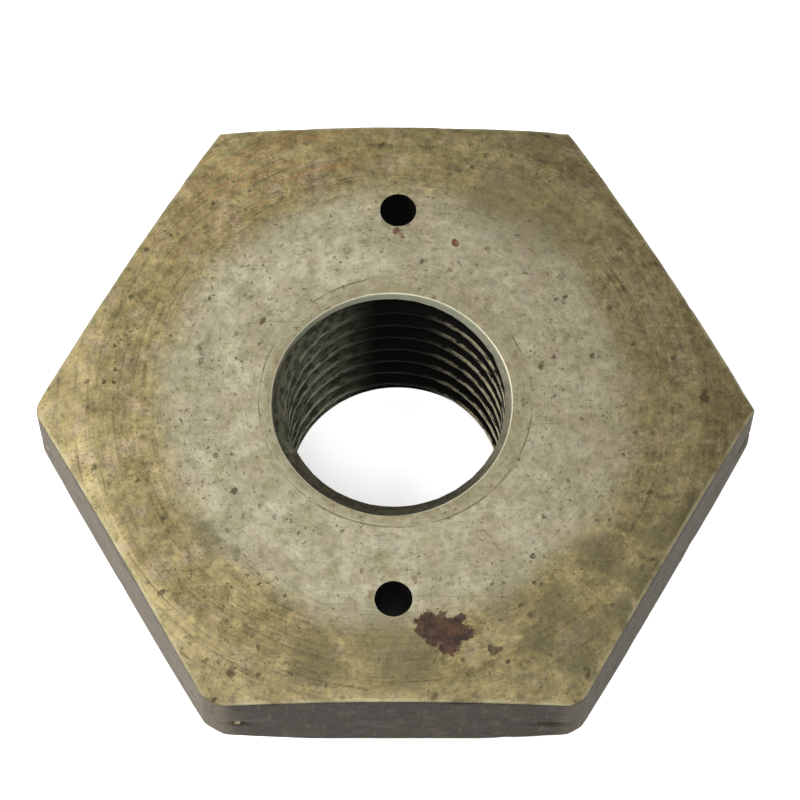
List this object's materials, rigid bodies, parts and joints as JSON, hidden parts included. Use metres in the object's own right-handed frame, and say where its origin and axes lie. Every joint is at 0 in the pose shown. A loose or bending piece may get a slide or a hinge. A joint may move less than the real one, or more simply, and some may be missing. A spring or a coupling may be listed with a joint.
{
  "type": "hex nut",
  "caption": "Thin hexagonal nut turned from bar steel, with a round boss behind, a through thread and small pin-spanner holes beside the bore.",
  "frame": {"origin": "on the thread axis at the end face of the boss, which is the surface that the nut stands on", "axes": "+Z along the thread axis towards the broad hexagonal face; two flats face +Y and -Y and two corners point along +X and -X. The hexagon is off the thread axis by 0.2 mm towards -X and 0.5 mm towards -Y, as on the real nut"},
  "size_m": [0.0862, 0.075, 0.0275],
  "materials": {
    "steel": "turned bar steel with light rust stain, polished where it has rubbed, oily black in the thread"
  },
  "bodies": {
    "root": {"hex_nut": "steel"}
  },
  "joints": []
}
